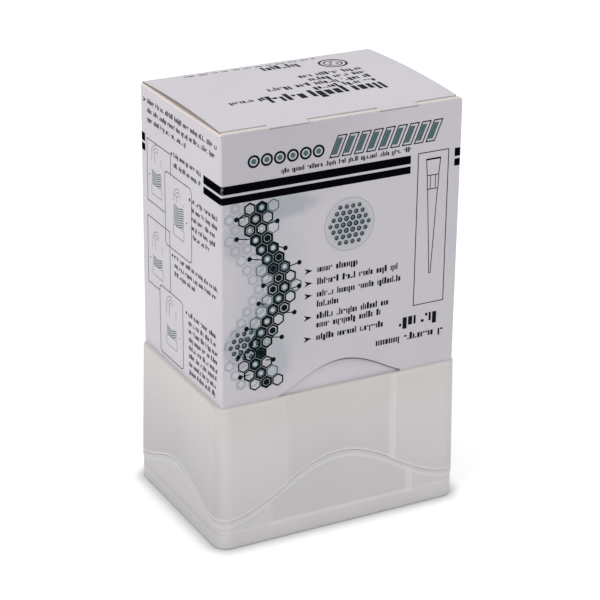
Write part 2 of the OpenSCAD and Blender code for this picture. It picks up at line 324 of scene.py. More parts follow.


# soft clouds on the front: middle, half sizes, strength and colour. The first two are painted shade, over
# the whole wall and its upper left; the rest are the print's mist
frontMist = [((0, 135), (200, 200), 0.16, "tint"), ((-60, 205), (95, 60), 0.42, "tint"),
             ((-36, 124), (22, 50), 0.45, "faintMist"), ((3, 149), (14, 14), 0.62, "mist"),
             ((-49, 100), (12, 12), 0.60, "mist"), ((-32, 163), (24, 7), 0.60, "mist"),
             ((-36, 90), (13, 15), 0.38, "mist"), ((-53, 150), (8, 12), 0.35, "mist")]
printedBoard = coatedBoard("printedBoard", "front", mist=frontMist)
linerBoard = coatedBoard("linerBoard", "front")
plainBoard = rawBoard("plainBoard", "inside")
cutEdge = rawBoard("cutEdge", "edge", speck=0.14)
coreEdge = rawBoard("coreEdge", "core", speck=0.2)
# lighter and warmer than the walls: painted light on the dust flaps under the bowed panel
flapBoard = coatedBoard("flapBoard", "flap")
blackInk = coatedBoard("blackInk", "black", tone=0.2, sheen=0.0)
darkInk = coatedBoard("darkInk", "dark", tone=0.15, sheen=0.0)
tealInk = coatedBoard("tealInk", "teal", tone=0.08, sheen=0.06)
# pale grey ink of the lattice's faint copy; on the tongues' cut edges it is painted shade
ghostInk = coatedBoard("ghostInk", "ghost", tone=0.1, sheen=0.3)
# a grey that is ink in the side pictures and painted shadow along the arch's edge
edgeShade = coatedBoard("edgeShade", "shade", tone=0.1, sheen=0.1)
textInk = coatedBoard("textInk", "text", tone=0.08, sheen=0.02)
boxPlastic = milkyPlastic("boxPlastic", "box", 0.36, 0.35)
platePlastic = milkyPlastic("platePlastic", "plate", 0.32, 0.2)
tipPlastic = clearPlastic("tipPlastic", "tip")
print("materials done")


# rack box

rackBox = dict(width=127.2, depth=90.2, height=71.2, draft=1.5, corner=7.5, wall=1.3, shoulder=1.5,
               foot=3, floorTop=4.5, waveLow=14.5, waveFront=22.5, waveSide=11.5, waveGap=0.07,
               gapOpens=80, beadHigh=3, beadOut=0.4, lidPanel=52, basePanel=71, lidPanelDeep=0.8,
               basePanelDeep=0.6, panelSlope=3, upstandIn=2.9, upstandTop=48.2)


def boxStations(box, step=1.5, cornerSteps=12):
    # the outline seen from above, as stations: centre of curvature, angle of the normal, rise of the
    # wave and shares of the sunk panels. The wave is one full cosine over each side, level at its ends
    midX, midY = box["width"] / 2 - box["corner"], box["depth"] / 2 - box["corner"]
    radius, slope, quarter = box["corner"], box["panelSlope"], np.pi / 2
    slopes = [half + slope * share for half in (box["lidPanel"] / 2, box["basePanel"] / 2)
              for share in (-0.35, 0, 0.2, 0.5, 0.8, 1, 1.35)]
    parts = []
    for side in range(4):
        front = side % 2 == 0
        along, out = (midX, midY) if front else (midY, midX)
        turn = quarter * (side - 1)
        facing, ahead = circle(0, 0, 1, np.array([turn, turn + quarter]))
        u = np.linspace(-along, along, int(2 * along / step))
        u = np.unique(np.round(np.concatenate([u, slopes, np.negative(slopes)]) if front else u, 4))
        isFront = np.full(len(u), front)
        parts.append((out * facing + u[:, None] * ahead, 0 * u + turn, np.abs(u), isFront, isFront))
        bend = quarter * np.arange(1, cornerSteps) / cornerSteps
        near = bend < quarter / 2
        distance = np.where(near, along + radius * bend, out + radius * (quarter - bend))
        parts.append((out * facing + (0 * bend[:, None] + along) * ahead, turn + bend, distance,
                      near == front, np.zeros(len(bend), bool)))
    centre, angle, u, front, flat = (np.concatenate(column) for column in zip(*parts))
    half = np.where(front, midX, midY) + radius / 2
    share = np.where(u < half, (1 + np.cos(np.pi * u / half)) / 2, 0)

    def sunk(width):
        # whole up to the panel's end, gone a slope further out, with soft ends
        t = np.clip(1 - (u - width / 2) / slope, 0, 1)
        return np.where(flat, t * t * (3 - 2 * t), 0)

    def steps(width):
        # peaks along both ends of a panel's slopes
        return (flat * sum(ridge(u - width / 2 - share * slope, 0.5) for share in (0.2, 0.8)))[:, None]

    return dict(centre=centre, angle=angle, share=share, lidSteps=steps(box["lidPanel"]),
                baseSteps=steps(box["basePanel"]),
                wave=box["waveLow"] + share * np.where(front, box["waveFront"], box["waveSide"]),
                lidPanel=sunk(box["lidPanel"]), basePanel=sunk(box["basePanel"]))


def boxSkin(name, box, stations, line, radii, glow, body):
    # carries a closed profile of (distance in, height) round the outline: each point lies on its
    # station's normal, as far out as the corner radius less its distance in and the draft. A flat fan
    # closes each end. glow gives the painted highlights and painted shade from the distance in and the
    # height
    angle = stations["angle"]
    line = np.stack([np.stack([np.broadcast_to(v, angle.shape) for v in pair], -1) for pair in line], 1)
    profile = roundedLine(line, radii)
    # the first and the last corner are the rims of the flat ends and stay sharp
    profile = np.concatenate([line[:, :1], profile[:, 4:-4], line[:, -1:]], 1)
    reach = box["corner"] - profile[..., 0] - box["draft"] * profile[..., 1] / box["height"]
    normal = circle(0, 0, 1, angle)
    plan = stations["centre"][:, None] + reach[..., None] * normal[:, None]
    points = np.concatenate([plan, profile[..., 1:]], -1)
    rows, cols = points.shape[:2]
    faces = [list(face) for face in gridFaces(rows, cols, wrapRows=True)]
    middle = rows * cols
    for k, column in enumerate((0, cols - 1)):
        ring = np.arange(rows) * cols + column
        faces += [[a, b, middle + k] for a, b in zip(ring, np.roll(ring, -1))]
    ends = [[0, 0, profile[0, k, 1]] for k in (0, -1)]
    points = np.concatenate([points.reshape(-1, 3), ends])
    piece = newPiece(name, points, faces, [boxPlastic], body, "box_plastic", smooth=50, outward=True)
    # the painted highlights and shade, as a point attribute that the material reads
    paintedLightValues = np.append(glow(profile[..., 0], profile[..., 1]), [0, 0]).astype(np.float32)
    piece.data.attributes.new("edgeLight", "FLOAT", "POINT").data.foreach_set("value", paintedLightValues)
    # keeps broad flat faces flat next to their narrow rounded edges
    piece.modifiers.new("evenNormals", "WEIGHTED_NORMAL").keep_sharp = True
    return piece


def ridge(distance, width):
    # a soft peak: 1 on the line, nearly gone two widths away
    return np.exp(-(distance / width) ** 2)


def makeRackBox(box):
    st = boxStations(box)
    wave, wall, beadOut = st["wave"], box["wall"], box["beadOut"]
    deep = box["basePanelDeep"] * st["basePanel"]
    inner, footTop = beadOut + wall, box["floorTop"] + 3
    upIn, upTop = box["upstandIn"], box["upstandTop"]
    beadLow = wave - box["beadHigh"]
    endWall = np.cos(st["angle"][:, None]) ** 2
    endShade = 0.30 * endWall    # painted shade on the end walls
    panel, panelLow = beadOut + deep, footTop + 1.5
    base = [(inner, box["foot"]), (inner, 0), (beadOut, 0), (beadOut, 1.6), (beadOut, footTop),
            (panel, panelLow), (panel, beadLow - 1.2), (panel, beadLow - 0.5), (panel, beadLow),
            (deep, beadLow), (deep, wave - 1.2), (deep, wave), (upIn, wave), (upIn, upTop),
            (upIn + wall, upTop), (upIn + wall, wave - wall), (inner + deep, wave - wall),
            (inner + deep, panelLow), (inner, footTop), (inner, box["floorTop"])]
    radii = [0, 0.3, 0.8, 0.1, 1, 1, 0.1, 0.1, 0.2, 0.25, 0.1, 0.35, 0.2, 0.3, 0.3, 1, 1, 1, 1, 0]

    def basePaintedLight(away, z):
        # painted highlights along the bead's lower edge, the panel's steps and its lower edge, and on the
        # foot;
        # painted shade on the bead, the sunk panel and the end walls, and a painted contact shadow at the
        # floor. The highlights are weaker on the end walls
        low = beadLow[:, None]
        lines = ridge(z - low, 0.45) * 0.7 - 0.09 * (z > low + 0.6)
        lines += st["baseSteps"] * (z < low) * (z > footTop) * 0.5 + ridge(z - footTop - 1, 0.6) * 0.45
        lines += -0.09 * st["basePanel"][:, None] * (z > footTop + 1) * (z < low) + 0.12 * (z < footTop)
        lines = lines * (1 - 0.6 * endWall) - 0.3 * endWall * ridge(z - footTop - 0.6, 0.9)
        return (lines - 0.5 * ridge(z, 0.8) - endShade) * (away < inner)
    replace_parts(boxSkin("boxBase", box, st, base, radii, basePaintedLight, "rack"), "box_base")

    rim = wave + box["waveGap"] * np.minimum(1, box["gapOpens"] * st["share"])
    deep = box["lidPanelDeep"] * st["lidPanel"]
    inside, shoulder, top = wall + deep, box["shoulder"], box["height"]
    lid = [(wall + np.maximum(deep, shoulder), top - wall), (inside, top - wall - shoulder),
           (inside, rim), (deep, rim), (deep, rim + 0.9), (deep, rim + 1.7)]
    lid += [(np.maximum(deep, shoulder * (1 - np.cos(a))), top - shoulder * (1 - np.sin(a)))
            for a in np.radians(np.linspace(0, 90, 7))]
    radii = [0, 0.5, 0.3, 0.4, 0.1, 0.1] + [0.15] * 6 + [0]

    def lidPaintedLight(away, z):
        # painted highlights along the rim, the panel's steps and the shoulder; painted shade over the lid,
        # more on the sunk panel near its top and on the end walls
        lines = ridge(z - rim[:, None] - 0.5, 0.5) * 0.9 + ridge(z - top + shoulder, 0.8) * 0.5
        cloud = st["lidPanel"][:, None] * (1 + 2 * ridge(z - 62, 14))
        lines += 0.5 * st["lidSteps"] - 0.08 - 0.06 * cloud
        return (lines - 1.6 * endShade) * (away < inside[:, None] - 0.1)
    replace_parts(boxSkin("boxLid", box, st, lid, radii, lidPaintedLight, "lid"), "box_lid")


makeRackBox(rackBox)
print("rack box done")


# plates and tips

tipShape = dict(length=58, collar=14, collarWide=7, coneWide=5.5, point=1.1, wall=0.55, sides=10,
                pitch=9, grid=(12, 8))


def makeTips(name, tip, node, body):
    # turned tips on a grid: a closed profile of (radius, height) is spun round each tip's axis
    point, cone, outer = (tip[part] / 2 for part in ("point", "coneWide", "collarWide"))
    top, low, lip, wall = tip["collar"], tip["collar"] - tip["length"], 0.25, tip["wall"]
    r, z = np.transpose([(point - lip, low), (point, low), (cone, 0), (outer - 0.15, 0),
                         (outer, top - 0.9), (outer + lip, top - 0.9), (outer + lip, top),
                         (outer - wall, top), (cone - wall, -1)])
    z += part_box(node)[1].z / mm - top
    turn = 2 * np.pi * np.arange(tip["sides"])[:, None] / tip["sides"]
    one = spread(r * np.cos(turn), r * np.sin(turn), z)
    x, y = ((np.arange(count) - (count - 1) / 2) * tip["pitch"] for count in tip["grid"])
    places = np.stack([*np.meshgrid(x, y), np.zeros((len(y), len(x)))], -1).reshape(-1, 1, 1, 3)
    rows, cols = one.shape[:2]
    faces = [gridFaces(rows, cols, True, True, k * rows * cols) for k in range(len(places))]
    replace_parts(newPiece(name, places + one, np.concatenate(faces), [tipPlastic], body, "tip_plastic",
                         smooth=40), node)


def dressNode(name, material):
    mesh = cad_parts[name].data
    mesh.materials.clear()
    mesh.materials.append(material)


makeTips("tipsRack", tipShape, "rack_tips", "rack")
for node in sorted(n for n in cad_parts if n.startswith("refill_tips")):
    makeTips("tipsRefill" + node[-1], tipShape, node, "lid")
    dressNode(node.replace("tips", "plate"), platePlastic)
dressNode("rack_plate", platePlastic)
dressNode("inner_tray", linerBoard)
print("tips and plates done")


# sleeve

sleeve = dict(width=120, depth=84, low=71.2, top=199.6, board=0.5, fold=0.9, bulge=0.25, archHigh=12.4,
              archWide=65, archCurl=1.3, hem=2.4, notch=(17.2, 20, 0.9), flapLong=30, flapTaper=5.6,
              flapRelief=3.8)


def sleeveTrack(box):
    # once round the sleeve from the front left corner: distance, place and outward normal.
    # Straight walls between quarter turns of the fold radius, as exact points joined by short chords
    a, b, r = box["width"] / 2 - box["fold"], box["depth"] / 2 - box["fold"], box["fold"]
    rows = []
    for k, (cx, cy) in enumerate([(-a, -b), (a, -b), (a, b), (-a, b)]):
        turn = np.radians(180 + 90 * k) + foldTurn
        nx, ny = np.cos(turn), np.sin(turn)
        rows.append(np.stack([cx + r * nx, cy + r * ny, nx, ny], 1))
    track = np.concatenate(rows)
    track = np.concatenate([track[4:], track[:5]])    # starts in the middle of the first corner
    chord = np.linalg.norm(np.diff(track[:, :2], axis=0), axis=1)
    return np.concatenate([[0], np.cumsum(chord)]), track


trackAt, trackRows = sleeveTrack(sleeve)


def archAt(x, box=sleeve):
    # height of the thumb arch: a cosine wave to the power 1.25, narrower towards its foot
    return box["archHigh"] * np.cos(np.pi * np.clip(x / box["archWide"], -0.5, 0.5)) ** 1.25


def onSleeve(distance, z, lift=0.0, box=sleeve):
    # a point of the sleeve's outer face, lift mm outside it. The walls bulge by one sine each way,
    # and the front curls out a little round the top of its arch
    x, y, nx, ny = (np.interp(np.mod(distance, trackAt[-1]), trackAt, column) for column in trackRows.T)
    share = np.cos(np.pi * np.where(np.abs(ny) > np.abs(nx), x / box["width"], y / box["depth"]))
    height = np.sin(np.pi * np.clip((z - box["low"]) / (box["top"] - box["low"]), 0, 1))
    curl = (ny < -0.7) * ridge(z - box["low"] - archAt(x), 5) * ridge(x - 8, 17)
    out = lift + box["bulge"] * np.maximum(share, 0) * height + box["archCurl"] * curl
    return spread(x + out * nx, y + out * ny, z)


def boardShell(name, outer, inner, wrap=False, body="sleeve", outside=printedBoard, rim=cutEdge,
               **options):
    # closes two matching grids into a board: outer face, inner face and raw cut edges all round
    rows, cols = outer.shape[:2]
    count = rows * cols
    index = np.arange(count).reshape(rows, cols)
    front = gridFaces(rows, cols, wrapCols=wrap)
    borders = [index[0], index[-1][::-1]] + ([] if wrap else [index[:, -1], index[::-1, 0]])
    rims = []
    for border in borders:
        here, other = (border, np.roll(border, -1)) if wrap else (border[:-1], border[1:])
        rims.append(np.stack([other, here, here + count, other + count], 1))
    rims = np.concatenate(rims)
    slots = np.repeat([0, 1, 2], [len(front), len(front), len(rims)])
    return newPiece(name, [outer, inner], np.concatenate([front, front[:, ::-1] + count, rims]),
                    [outside, plainBoard, rim], body, "printed_board", slots, outward=True, **options)


def makeSleeveWalls(box):
    # four walls in one band; their lower edge follows the arches, their upper edge the folds,
    # the front's strip and its two latch notches. The front is folded double along its top
    a = box["width"] / 2 - box["fold"]
    start, wide, deep = box["notch"]
    marks = [x + e for x in (start, start + wide, -start, -start - wide) for e in (-0.01, 0.01)]
    frontX = np.unique(np.concatenate([np.linspace(-a, a, 161), marks, [-a + 0.01, a - 0.01]]))
    frontAt = trackAt[4] + a + frontX
    backAt = frontAt + trackAt[-1] / 2
    sides = [np.linspace(trackAt[13], trackAt[14], 40), np.linspace(trackAt[31], trackAt[32], 40)]
    at = np.unique(np.round(np.concatenate([trackAt[:-1], frontAt, backAt, *sides]), 4))
    x, y = (np.interp(at, trackAt, trackRows[:, k]) for k in (0, 1))
    isFront, isBack = y < -box["depth"] / 2 + 1e-3, y > box["depth"] / 2 - 1e-3
    low = box["low"] + np.where(isFront | isBack, archAt(x), 0)
    crease = box["top"] - box["board"]
    inStrip = np.abs(x) < a - 0.005
    strip, inNotch = isFront & inStrip, (np.abs(x) > start) & (np.abs(x) < start + wide)
    top = np.where(strip, box["top"] - deep * inNotch, crease - box["fold"] * ~(isBack & inStrip))
    rise = np.concatenate([np.linspace(0, 0.1, 8), np.linspace(0.1, 0.97, 32)[1:],
                           [0.98, 0.985, 0.996, 0.9985, 1]])[:, None]
    z = low + (top - low) * rise
    rounded = -0.22 * strip * np.clip((rise - 0.997) / 0.003, 0, 1) ** 2
    inner = onSleeve(at + 0 * z, z, -box["board"] - box["hem"] * (strip & (rise > 0.984)))
    boardShell("sleeveWalls", onSleeve(at + 0 * z, z, rounded), inner, wrap=True, smooth=30)


def makeDustFlaps(box):
    # side flaps: up the fold's quarter turn and level inwards, narrower towards the free end
    crease = box["top"] - box["board"]
    r, half = box["fold"], box["width"] / 2
    run = np.concatenate([[0.15], np.linspace(0, box["flapLong"] - r, 16)[1:]])
    bent = circle(half - r, crease - r, r, foldTurn)
    level = np.stack([half - r - run, 0 * run + crease], 1)
    path = np.concatenate([bent, level])
    normal = np.concatenate([circle(0, 0, 1, foldTurn), 0 * level + [0, 1]])
    straight = box["depth"] / 2 - r
    taper = np.clip((half - r - path[:, 0]) / (box["flapLong"] - r), 0, 1)
    reach = np.where(np.arange(len(path)) < len(bent), straight,
                     straight - box["flapRelief"] - (box["flapTaper"] - box["flapRelief"]) * taper)
    y = np.linspace(-1, 1, 24)[None] * reach[:, None]

    def face(side, lift):
        away, high = np.split(path + lift * normal, 2, 1)
        return spread(side * away, y, high)
    for side, name in ((1, "dustFlapRight"), (-1, "dustFlapLeft")):
        boardShell(name, face(side, 0), face(side, -box["board"]), outside=flapBoard)


makeSleeveWalls(sleeve)
makeDustFlaps(sleeve)

lidPanel = dict(width=118, bow=1.36, lean=1.0, tuck=13, cornerRound=6, fold=0.6, gap=1.25,
                tongue=(17.2, 20, 4.6))


def panelTop(y, box=sleeve, panel=lidPanel):
    # height of the bowed panel's outer face: a parabola between its two creases
    return box["top"] + panel["bow"] * (1 - (2 * y / box["depth"]) ** 2)


def makeTopPanel(box, panel):
    # from the back hinge over the bow to the front fold and down the tuck flap. The path is
    # (depth, height); the board lies inside it along the path's normal
    r, board = panel["fold"], box["board"]
    front = -box["depth"] / 2 + board + box["hem"] + panel["gap"]
    y = np.linspace(box["depth"] / 2, front + r, 40)
    start = panelTop(y[-1])
    bow = np.stack([y, panelTop(y)], 1)
    bend = foldTurn[1:]
    fold = np.stack([front + r - r * np.sin(bend), start - r + r * np.cos(bend)], 1)
    t = np.linspace(0, 1, 22)[1:, None]
    tuck = fold[-1] + t * (np.array([front + panel["lean"], box["top"] - panel["tuck"]]) - fold[-1])
    path = np.concatenate([bow, fold, tuck])
    heading = unit(np.gradient(path, axis=0))
    normal = heading[:, ::-1] * [1, -1]    # points up on the panel
    corner = panel["cornerRound"]
    low = corner - np.clip(path[:, 1] - (box["top"] - panel["tuck"]), 0, corner)
    narrow = corner - np.sqrt(np.maximum(corner ** 2 - low ** 2, 0))
    inTuck = np.arange(len(path)) >= len(bow) + len(fold) - 1
    half = panel["width"] / 2 - np.where(inTuck, 1.5 + narrow, 0)
    x = np.linspace(-1, 1, 90)[None] * half[:, None]

    def face(lift):
        return spread(x, *np.split(path + lift * normal, 2, 1))
    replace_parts(boardShell("topPanel", face(0), face(-board), body="lid_panel", rim=coreEdge), "top_flap")
    # two latch tongues of the panel lie in the notches of the front wall
    first, wide, long = panel["tongue"]
    for side, name in ((-1, "tongueLeft"), (1, "tongueRight")):
        u = side * (first + wide / 2) + (wide / 2 - 0.15) * np.linspace(-1, 1, 12)[None, :]
        v = np.linspace(0, 1, 8)[:, None]
        depth = -box["depth"] / 2 + box["board"] + v * (long - box["board"])
        drop = 0.25 * (1 - v) ** 3    # the free edge is pressed down a little
        top = box["top"] + 0.14 * v - drop
        outer = spread(u, depth, top)
        # their cut edges take the pale grey ink: painted shade
        boardShell(name, outer, outer - [0, 0, board], body="lid_panel", rim=ghostInk)


makeTopPanel(sleeve, lidPanel)
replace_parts(bpy.data.objects["sleeveWalls"], "carton_sleeve")
print("sleeve done")


# print
# Plain bars, frames, rings and dots in flat inks, each a thin patch just above the board. A patch is
# a grid of (across, up) on a face: across the front from its left edge, or round the corner with
# minus the distance from the front edge; both in mm

inkLift = 0.03
foldSlack = sleeve["fold"] - trackAt[4]    # what the rounded corner saves


def onWall(across, up, lift):
    return onSleeve(np.sign(across) * np.maximum(np.abs(across) - foldSlack, 0), up, lift)


def onBack(across, up, lift):
    return onSleeve(across - foldSlack + trackAt[18], up, lift)


def onRight(across, up, lift):
    return onSleeve(across - foldSlack + trackAt[9], up, lift)


def onTop(across, up, lift):
    y = up - sleeve["depth"] / 2
    return np.stack([across - sleeve["width"] / 2, y, panelTop(y) + lift], -1)


def bar(left, right, low, high, slant=0.0):
    # a filled rectangle, sheared by slant mm to the right for each mm of height
    u = np.linspace(left, right, int((right - left) / 3) + 2)
    for corner in (-sleeve["depth"], 0, sleeve["width"]):
        fold = corner + np.linspace(-1, 1, 13) * sleeve["fold"]
        u = np.union1d(u, fold[(fold > left) & (fold < right)])
    v = np.linspace(low, high, int((high - low) / 6) + 2)[:, None]
    return spread(u + slant * (v - low), v)


def ring(x, z, outer, line=None, sides=32, turn=0.0):
    # a ring of so wide a line, or a disc, as a polygon of so many sides
    inner = outer - (line or outer)
    return circle(x, z, np.array([[inner], [outer]]), turn - 2 * np.pi * np.arange(sides + 1) / sides)


def stroke(points, line, closed=False):
    # a line of even width along a path: each point is moved to both sides along its normal.
    # Long stretches are cut into short ones, so that the line follows a bulged wall
    points = np.array([*points, points[0]] if closed else points, float)
    cuts = np.maximum(np.ceil(np.linalg.norm(np.diff(points, axis=0), axis=1) / 3), 1).astype(int)
    at = np.concatenate([[0]] + [k + np.arange(1, n + 1) / n for k, n in enumerate(cuts)])
    points = np.stack([np.interp(at, np.arange(len(points)), points[:, k]) for k in (0, 1)], 1)
    if closed:
        points = points[:-1]
        first, last = points[-1], points[0]
    else:
        first, last = 2 * points[0] - points[1], 2 * points[-1] - points[-2]
    heading = unit(np.diff([first, *points, last], axis=0))
    before, after = heading[:-1], heading[1:]
    both = before + after
    across = both[:, ::-1] * [-1, 1] / np.maximum((both * before).sum(1, keepdims=True), 0.3)
    sides = points + across * line * np.array([-0.5, 0.5])[:, None, None]
    return np.concatenate([sides, sides[:, :1]], 1) if closed else sides


def arrowHead(x, z, size=1.0):
    # a filled arrowhead with a notched tail, as an upper and a lower patch
    half = np.array([[[-0.8, 0], [1.9, 0]], [[-2.0, 1.45], [1.9, 0.08]]]) * size
    return [half + [x, z], half[::-1] * [1, -1] + [x, z]]


def frameLine(left, right, low, high, line, curve=0.0):
    # the outline of a rectangle with round corners
    bend = np.linspace(0, 90, 7) if curve else np.zeros(1)
    corners = [(right - curve, low + curve, -90), (right - curve, high - curve, 0),
               (left + curve, high - curve, 90), (left + curve, low + curve, 180)]
    arcs = [circle(x, z, curve, np.radians(bend + start)) for x, z, start in corners]
    return stroke(np.concatenate(arcs), line, closed=True)


def copyRows(seed, left, right, top, high, word, gap=0.75, lines=1, pitch=4.0, last=0.6):
    # rows of small upright ticks in place of copy, in words with even gaps; word lengths and gaps are
    # shares of the height. Most ticks are as tall as the row, some rise, hang or are short dashes
    draw = np.random.default_rng(seed)
    kinds = [(0, 1)] * 6 + [(0, 1.42), (0, 1.42), (-0.38, 1), (0, 0.32), (0.66, 1)]
    patches = []
    for k in range(lines):
        end = left + (right - left) * (last if k == lines - 1 and lines > 1 else 1)
        at, base = left, top - k * pitch - high
        while at < end - high:
            stop = min(at + draw.uniform(*word) * high, end)
            while at < stop - 0.3 * high:
                wide = high * draw.choice([0.28, 0.36, 0.52])
                low, up = kinds[draw.integers(len(kinds))]
                patches.append(bar(at, min(at + wide, stop), base + low * high, base + up * high))
                at += wide + 0.17 * high
            at += gap * high
    return patches


def inkPiece(name, patches, ink=textInk, place=onWall, lift=inkLift, body="sleeve"):
    # lays patches on a face, lift mm above it, and joins them into one piece
    points, faces, start = [], [], 0
    for patch in patches:
        rows, cols = patch.shape[:2]
        points.append(place(patch[..., 0], patch[..., 1], lift).reshape(-1, 3))
        faces.append(gridFaces(rows, cols, start=start))
        start += rows * cols
    newPiece(name, np.concatenate(points), np.concatenate(faces), [ink], body, "printed_board")


def copyTable(rows):
    # copy in several places; each row holds the values of copyRows
    return [patch for row in rows for patch in copyRows(*row)]


bands = dict(heights=((172.4, 176.3), (167.8, 171.2)),
             spans=((-17.6, 93.7), (116.6, 119.9), (-83.9, -79.4)))
heading = dict(wells=6, first=15.4, pitch=6.3, wellHigh=185.6, wellWide=2.95, wellLine=1.0,
               fillWide=1.25, stripes=9, stripeFrom=52.5, stripeWide=4.3, stripePitch=6.1, low=181.6,
               high=191.2, slant=0.42, line=0.55, inset=(0.9, 1.1))
# parts of the tip drawing as (half width, height) at their upper and lower ends
tipDrawing = dict(frame=(97.6, 113.4, 102.8, 176.5, 0.42), middle=105.6, rim=(3.9, 173),
                  collar=((3.7, 173), (3.0, 165.3)), ring=((3.0, 165.3), (2.8, 158.7)),
                  cone=((2.6, 158.7), (0.35, 117.7)), ribs=1.3, lines=(0.8, 0.4, 0.38, 0.35))
plain = ((1.8, 5), 0.75)    # the words and gaps of copyRows in longer copy
copyBlock = dict(left=47.1, tops=(130.9, 124.9, 118.9, 114.0, 108.2, 103.9, 97.7),
                 rights=(70.4, 89.3, 93.4, 58.9, 84.6, 80.5, 84.2), high=2.2,
                 marks=(129.9, 123.9, 117.9, 107.2, 96.8), markAt=42.6,
                 first=(3, 28.8, 94.3, 179.8, 1.6, (2.2, 6)),
                 last=((28, 90.3, 113.8, 97.8, 4.2, (2.2, 2.6), 0.5),
                       (29, 78.2, 114.0, 88.7, 2.5, (5, 7), 0.9)))


def makeFrontPrint(h, c, t):
    bars = [bar(*span, *z) for span in bands["spans"] for z in bands["heights"]]
    inkPiece("frontBands", bars, blackInk)
    wells = h["first"] + h["pitch"] * np.arange(h["wells"])
    lows = h["stripeFrom"] + h["stripePitch"] * np.arange(h["stripes"])
    low, high, wide = h["low"], h["high"], h["stripeWide"]
    dark = [ring(x, h["wellHigh"], h["wellWide"], h["wellLine"]) for x in wells]
    corners = np.array([(wide, low), (wide, high), (0, high), (0, low)])
    corners[:, 0] += h["slant"] * (corners[:, 1] - low)
    dark += [stroke(corners + [x, 0], h["line"], True) for x in lows]
    inkPiece("headingLines", dark, darkInk)
    aside, inside = h["inset"]
    fills = [ring(x, h["wellHigh"], h["fillWide"]) for x in wells]
    fills += [bar(x + aside, x + wide - aside, low + inside, high - inside, h["slant"]) for x in lows]
    inkPiece("headingFills", fills, tealInk)

    rows = [(20 + k, c["left"], right, top, c["high"], (2.6, 6))
            for k, (top, right) in enumerate(zip(c["tops"], c["rights"]))]
    copy = copyTable([c["first"], *rows, *c["last"]])
    inkPiece("frontCopy", copy + [patch for z in c["marks"] for patch in arrowHead(c["markAt"], z)])

    middle, (half, top), (thick, edge, coneLine, thin) = t["middle"], t["rim"], t["lines"]

    def outline(high, low):
        # down the left side and up the right side
        return [(middle + side * half, z) for side, ends in ((-1, (high, low)), (1, (low, high)))
                for half, z in ends]
    lines = [frameLine(*t["frame"]), stroke([(middle - half, top), (middle + half, top)], thick),
             stroke(outline(*t["collar"]), edge, True), stroke(outline(*t["ring"]), edge, True),
             stroke(outline(*t["cone"]), coneLine)]
    lines += [stroke([(middle + x, z) for _, z in t["ring"]], thin) for x in (-t["ribs"], t["ribs"])]
    inkPiece("tipFrame", lines, blackInk)


artwork = dict(low=77.5, high=166, cell=3.3, middle=23, sway=6.5, wave=19, spread=6.2, seed=11, stems=15,
               lenses=((63, 149, 11.5, 3), (11, 100, 8.5, 2)))


def makeArtwork(art):
    # a hexagonal lattice of cells that thickens along a slow wave up the panel, its faint copy behind
    # it, dots on stems beside it, and round lenses full of wells
    draw = np.random.default_rng(art["seed"])
    cell = art["cell"]

    def waveAt(z):
        return art["middle"] - art["sway"] * np.sin((z - art["low"]) / art["wave"] * np.pi / 1.7)

    def hexagon(x, z, outer, line=None):
        return ring(x, z, outer, line, sides=6, turn=np.pi / 2)
    j, i = np.mgrid[:int((art["high"] - art["low"]) / cell / 1.5) + 1, -1:9]
    x = ((i + 0.5 * (j % 2)) * cell * np.sqrt(3) + art["middle"] - 18).ravel()
    z = (art["low"] + (j + 0.5) * cell * 1.5).ravel()
    weight = ridge(x - waveAt(z), art["spread"]) * draw.uniform(0.7, 1.15, x.shape)
    behind = ridge(x - waveAt(z) + 9, art["spread"]) * draw.uniform(0.5, 1.1, x.shape)
    dark, teal, ghost = [], [], []
    for a, b, w, g in zip(x, z, weight, behind):
        if g > 0.3 and a > cell + 0.6:
            ghost.append(hexagon(a - 1.2, b + 1.4, cell * 0.9, 0.6 + 1.5 * g))
        if w < 0.17 or a < cell:
            continue
        (dark if w > 0.34 else teal).append(hexagon(a, b, cell * 0.97, 0.3 + 1.25 * w))
        if w > 0.55:
            kind = draw.integers(4)
            if kind == 0:
                dark.append(hexagon(a, b, cell * 0.52))
            else:
                teal.append(hexagon(a, b, cell * (0.34 + 0.1 * kind), 0.3 * kind))
    for k in range(art["stems"]):      # dots on stems, left and right of the lattice in turn
        b = art["low"] + 8 + k * 5.4
        side = 1 if k % 2 else -1
        a = waveAt(b) + 5 * side
        tip, rise = min(a + side * draw.uniform(3.5, 6.5), 38), draw.uniform(-2.4, 2.4)
        if tip > 2.5:
            dark += [stroke([(a, b), (tip, b + rise)], 0.5), ring(tip, b + rise, 1.15, sides=16)]
    for cx, cz, reach, rows in art["lenses"]:
        step = reach / (rows + 0.55)
        for v in range(-rows, rows + 1):
            for u in range(-rows, rows + 1):
                a, b = cx + (u + 0.5 * (v % 2)) * step, cz + v * step * 0.87
                away = np.hypot(a - cx, b - cz)
                if away < reach - step * 0.3:
                    size = step * (0.42 - 0.13 * away / reach)
                    dark.append(ring(a, b, size, size * 0.45, sides=16))
                    teal.append(ring(a + 0.1, b - 0.1, size * 0.5, sides=12))
        ghost.append(ring(cx, cz, reach + 1.2, 0.5, sides=60))
    inkPiece("artworkGhost", ghost, ghostInk, lift=inkLift / 2)
    inkPiece("artworkDark", dark, darkInk, lift=inkLift * 1.5)
    inkPiece("artworkTeal", teal, tealInk)


def makeArchShadow(box, half=31.5):
    # painted shadow along the arch's die-cut edge: a dark strip, wider on its right side
    x = np.linspace(-half, half, 120)
    up = box["low"] + archAt(x) + 0.02
    wide = np.interp(x, [-half, -14, 2, half], [0.03, 0.12, 0.6, 0.5])
    inkPiece("archEdge", [spread(x + box["width"] / 2, [up, up + wide])], edgeShade)


